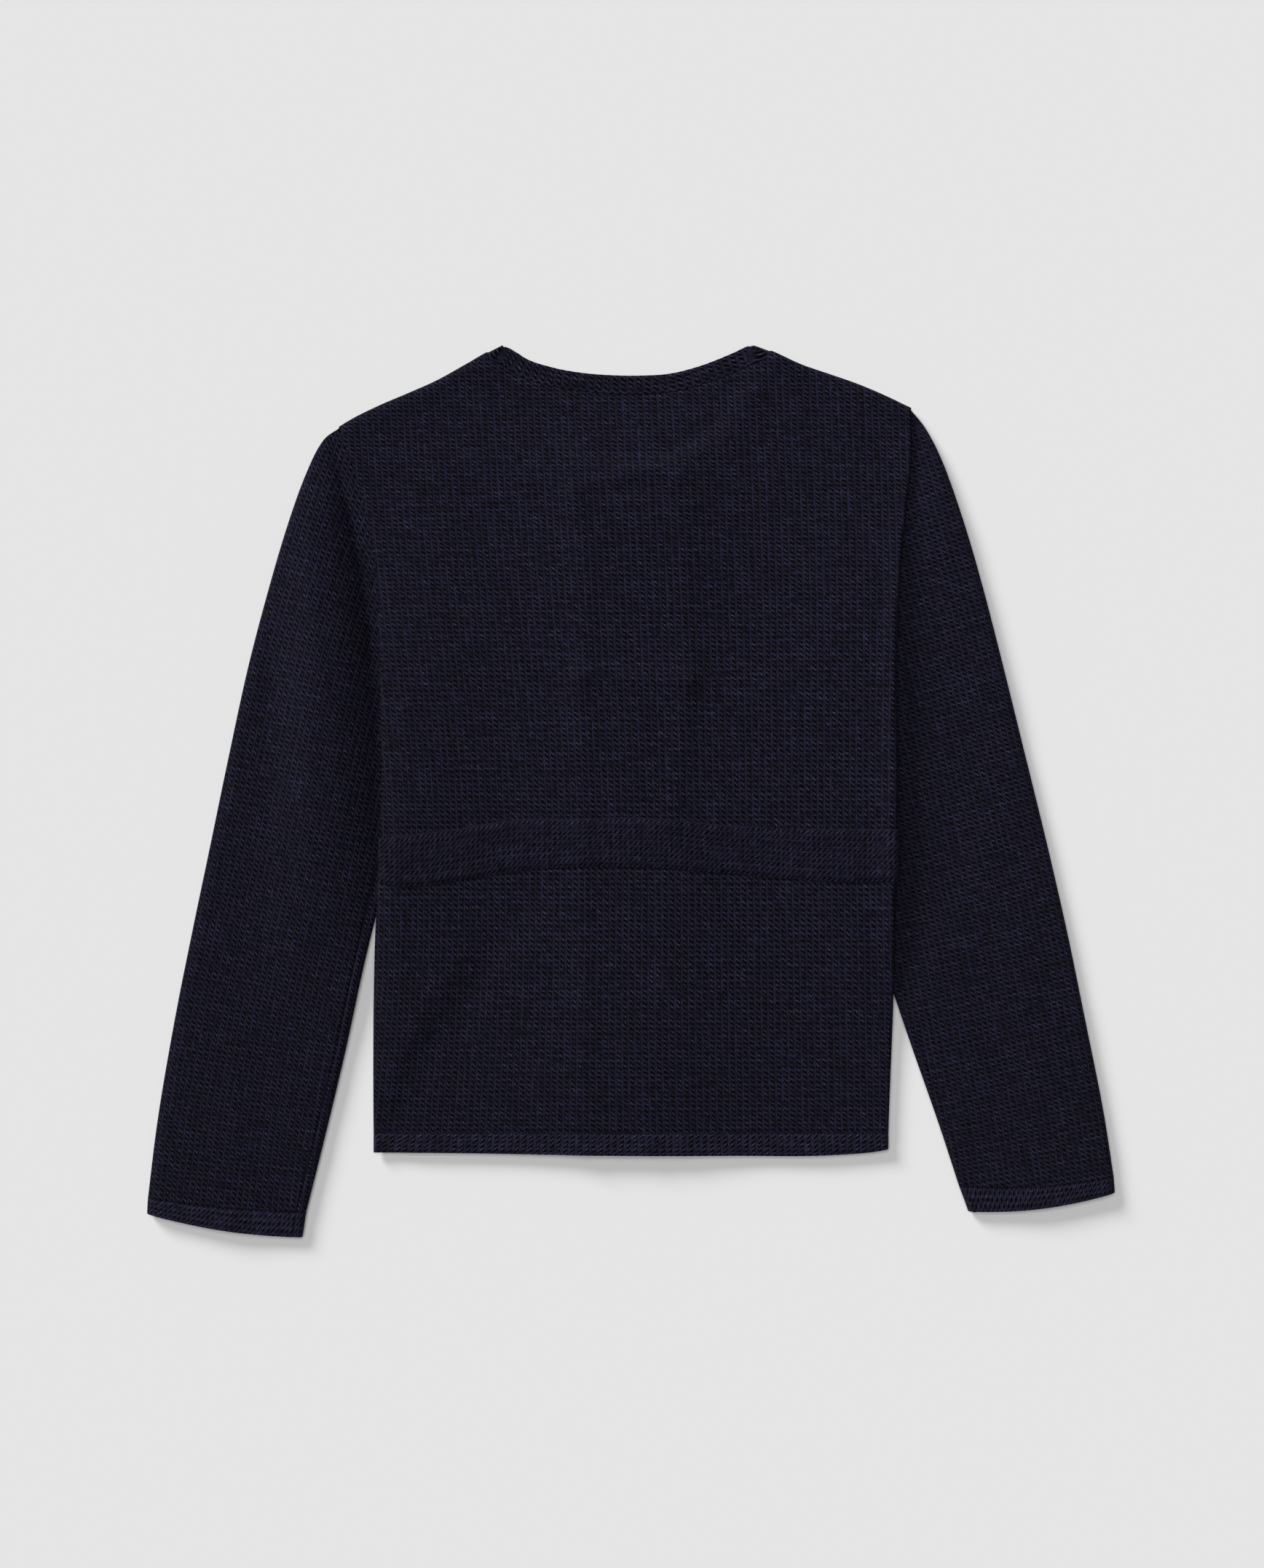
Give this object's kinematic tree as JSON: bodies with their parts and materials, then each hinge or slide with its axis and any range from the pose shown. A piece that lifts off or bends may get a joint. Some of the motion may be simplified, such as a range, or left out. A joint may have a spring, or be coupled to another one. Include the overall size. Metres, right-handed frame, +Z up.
{
  "type": "double-breasted cardigan",
  "caption": "Child's double-breasted knitted cardigan laid flat on its front, with its back up: round ribbed neck, long set-in sleeves, ribbed cuffs and hem, and a ribbed half belt.",
  "frame": {"origin": "bottom centre of the bounding box, on the surface that the cardigan lies on", "axes": "+X across the garment, towards the wearer's right; +Y from the hem to the neck; +Z up, out of the surface and out of the garment's back"},
  "size_m": [0.5538, 0.5108, 0.0154],
  "materials": {
    "knit": "navy stockinette knit, matt and slightly fuzzy",
    "rib": "navy ribbed knit, matt and slightly fuzzy",
    "button": "semi-gloss, dark navy"
  },
  "bodies": {
    "root": {"back_panel": "knit", "front_left": "knit", "front_right": "knit", "band_left": "rib", "band_right": "rib", "neck_band": "rib", "sleeve_left": "knit", "sleeve_right": "knit", "cuff_left": "rib", "cuff_right": "rib", "hem_back": "rib", "hem_front_left": "rib", "hem_front_right": "rib", "belt": "rib", "button_l1": "button", "button_l2": "button", "button_l3": "button", "button_l4": "button", "button_r1": "button", "button_r2": "button", "button_r3": "button", "button_r4": "button"}
  },
  "joints": []
}
